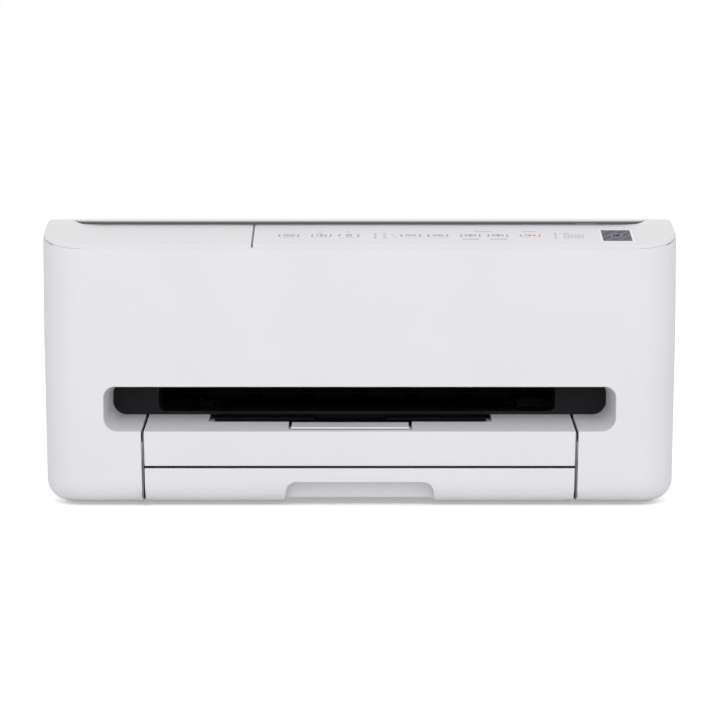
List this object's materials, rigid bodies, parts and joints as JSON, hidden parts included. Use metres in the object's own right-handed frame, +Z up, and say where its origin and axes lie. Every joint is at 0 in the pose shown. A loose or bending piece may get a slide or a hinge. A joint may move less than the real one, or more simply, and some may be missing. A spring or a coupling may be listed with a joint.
{
  "type": "multifunction printer",
  "caption": "Compact ink-jet printer with a flat scanner under a hinged cover, a sloped key strip, a paper slot and a pull-out cassette.",
  "frame": {"origin": "centre of the footprint on the surface that the feet rest on", "axes": "+X to the right seen from the front, +Y to the rear, +Z up"},
  "size_m": [0.416, 0.34, 0.187],
  "materials": {
    "case_white": "fine satin moulding",
    "tab_white": "fine satin moulding",
    "key_white": "satin with a grey outline",
    "key_red": "satin with a red outline",
    "grey_plastic": "satin moulding",
    "dark_plastic": "satin moulding",
    "cartridge_black": "glossy moulding",
    "rubber_black": "matte",
    "steel_bright": "ground",
    "steel_sheet": "zinc plated",
    "gear_white": "smooth acetal",
    "clear_glass": "polished",
    "pad_white": "smooth sheet on foam",
    "board_green": "solder mask",
    "light_lens": "clear moulding",
    "strip_film": "film"
  },
  "bodies": {
    "root": {"base_tray": "grey_plastic", "main_case": "case_white", "rear_cover": "case_white", "rubber_feet": "rubber_black", "case_screws": "steel_bright", "front_bridge": "case_white", "slot_frame": "dark_plastic", "inner_deck": "grey_plastic", "hinge_pins": "steel_bright", "chassis_frame": "steel_sheet", "carriage_rod": "steel_bright", "platen": "dark_plastic", "spur_wheel_bar": "dark_plastic", "encoder_strip": "strip_film", "carriage_belt": "rubber_black", "carriage_motor": "steel_sheet", "feed_motor": "steel_sheet", "pickup_arm": "dark_plastic", "paper_turn_guide": "dark_plastic", "purge_unit": "dark_plastic", "main_board": "board_green", "power_supply": "dark_plastic"},
    "scanner_unit": {"scanner_housing": "case_white", "scanner_pan": "grey_plastic", "platen_glass": "clear_glass", "operation_panel": "case_white", "panel_trim": "case_white", "panel_board": "board_green", "status_lights": "light_lens", "scan_rod": "steel_bright", "scan_belt": "rubber_black", "stay_arm": "dark_plastic", "cover_hinge_pins": "steel_bright"},
    "scan_bar": {"scan_bar": "dark_plastic"},
    "document_cover": {"cover_shell": "case_white", "cover_pad": "pad_white"},
    "cassette": {"cassette_tray": "dark_plastic", "cassette_front": "case_white"},
    "paper_guide_left": {"paper_guide_left": "grey_plastic"},
    "paper_guide_right": {"paper_guide_right": "grey_plastic"},
    "guide_pinion": {"guide_pinion": "gear_white"},
    "length_guide": {"length_guide": "grey_plastic"},
    "output_tray": {"output_tray": "dark_plastic"},
    "tray_extension": {"tray_extension": "dark_plastic", "output_tab": "tab_white"},
    "paper_stop": {"paper_stop": "dark_plastic"},
    "carriage": {"print_carriage": "dark_plastic", "ink_cartridges": "cartridge_black"},
    "feed_roller": {"feed_roller": "steel_bright"},
    "exit_roller": {"exit_roller": "steel_bright"},
    "drive_gear": {"drive_gear": "gear_white"},
    "pickup_roller": {"pickup_roller": "rubber_black"},
    "key_1": {"key_1": "key_white"},
    "key_2": {"key_2": "key_white"},
    "key_3": {"key_3": "key_white"},
    "key_4": {"key_4": "key_white"},
    "key_5": {"key_5": "key_white"},
    "key_6": {"key_6": "key_white"},
    "key_7": {"key_7": "key_white"},
    "key_8": {"key_8": "key_red"}
  },
  "joints": [
    {"name": "scanner_lift", "type": "hinge", "parent": "root", "child": "scanner_unit", "pos_m": [0, 0.164, 0.15], "axis": [-1, 0, 0], "range_deg": [0, 45]},
    {"name": "cover_lift", "type": "hinge", "parent": "scanner_unit", "child": "document_cover", "pos_m": [0, 0.152, 0.18], "axis": [-1, 0, 0], "range_deg": [0, 80]},
    {"name": "scan_bar_travel", "type": "slide", "parent": "scanner_unit", "child": "scan_bar", "axis": [1, 0, 0], "range_m": [0, 0.3]},
    {"name": "cassette_pull", "type": "slide", "parent": "root", "child": "cassette", "axis": [0, -1, 0], "range_m": [0, 0.3]},
    {"name": "left_guide_slide", "type": "slide", "parent": "cassette", "child": "paper_guide_left", "axis": [1, 0, 0], "range_m": [0, 0.057]},
    {"name": "right_guide_slide", "type": "slide", "parent": "cassette", "child": "paper_guide_right", "axis": [-1, 0, 0], "range_m": [0, 0.057]},
    {"name": "guide_pinion_turn", "type": "hinge", "parent": "cassette", "child": "guide_pinion", "pos_m": [0, 0.055, 0.0086], "axis": [0, 0, 1], "range_deg": [-330, 0]},
    {"name": "length_guide_slide", "type": "slide", "parent": "cassette", "child": "length_guide", "axis": [0, 1, 0], "range_m": [0, 0.1]},
    {"name": "output_tray_pull", "type": "slide", "parent": "root", "child": "output_tray", "axis": [0, -1, 0], "range_m": [0, 0.115]},
    {"name": "extension_pull", "type": "slide", "parent": "output_tray", "child": "tray_extension", "axis": [0, -1, 0], "range_m": [0, 0.1]},
    {"name": "paper_stop_fold", "type": "hinge", "parent": "tray_extension", "child": "paper_stop", "pos_m": [0, -0.1469, 0.05295], "axis": [1, 0, 0], "range_deg": [0, 90]},
    {"name": "carriage_travel", "type": "slide", "parent": "root", "child": "carriage", "axis": [-1, 0, 0], "range_m": [0, 0.29]},
    {"name": "feed_roller_spin", "type": "hinge", "parent": "root", "child": "feed_roller", "pos_m": [0, 0.062, 0.06], "axis": [1, 0, 0], "continuous": true},
    {"name": "exit_roller_spin", "type": "hinge", "parent": "root", "child": "exit_roller", "pos_m": [0, 0.004, 0.06], "axis": [1, 0, 0], "continuous": true},
    {"name": "drive_gear_spin", "type": "hinge", "parent": "root", "child": "drive_gear", "pos_m": [-0.1965, 0.033, 0.04425], "axis": [1, 0, 0], "continuous": true},
    {"name": "pickup_roller_spin", "type": "hinge", "parent": "root", "child": "pickup_roller", "pos_m": [0, 0.112, 0.035], "axis": [1, 0, 0], "continuous": true},
    {"name": "key_1_press", "type": "slide", "parent": "scanner_unit", "child": "key_1", "axis": [0, 0.36, -0.933], "range_m": [0, 0.0005], "stiffness_N_per_m": 1000, "springref_m": -0.0002},
    {"name": "key_2_press", "type": "slide", "parent": "scanner_unit", "child": "key_2", "axis": [0, 0.36, -0.933], "range_m": [0, 0.0005], "stiffness_N_per_m": 1000, "springref_m": -0.0002},
    {"name": "key_3_press", "type": "slide", "parent": "scanner_unit", "child": "key_3", "axis": [0, 0.36, -0.933], "range_m": [0, 0.0005], "stiffness_N_per_m": 1000, "springref_m": -0.0002},
    {"name": "key_4_press", "type": "slide", "parent": "scanner_unit", "child": "key_4", "axis": [0, 0.36, -0.933], "range_m": [0, 0.0005], "stiffness_N_per_m": 1000, "springref_m": -0.0002},
    {"name": "key_5_press", "type": "slide", "parent": "scanner_unit", "child": "key_5", "axis": [0, 0.36, -0.933], "range_m": [0, 0.0005], "stiffness_N_per_m": 1000, "springref_m": -0.0002},
    {"name": "key_6_press", "type": "slide", "parent": "scanner_unit", "child": "key_6", "axis": [0, 0.36, -0.933], "range_m": [0, 0.0005], "stiffness_N_per_m": 1000, "springref_m": -0.0002},
    {"name": "key_7_press", "type": "slide", "parent": "scanner_unit", "child": "key_7", "axis": [0, 0.36, -0.933], "range_m": [0, 0.0005], "stiffness_N_per_m": 1000, "springref_m": -0.0002},
    {"name": "key_8_press", "type": "slide", "parent": "scanner_unit", "child": "key_8", "axis": [0, 0.36, -0.933], "range_m": [0, 0.0005], "stiffness_N_per_m": 1000, "springref_m": -0.0002}
  ],
  "couplings": [
    {"joint": "guide_pinion_turn", "follows": "left_guide_slide", "rad_per_m": -100},
    {"joint": "right_guide_slide", "follows": "left_guide_slide", "ratio": 1},
    {"joint": "drive_gear_spin", "follows": "feed_roller_spin", "ratio": -1.2},
    {"joint": "exit_roller_spin", "follows": "feed_roller_spin", "ratio": 1}
  ]
}
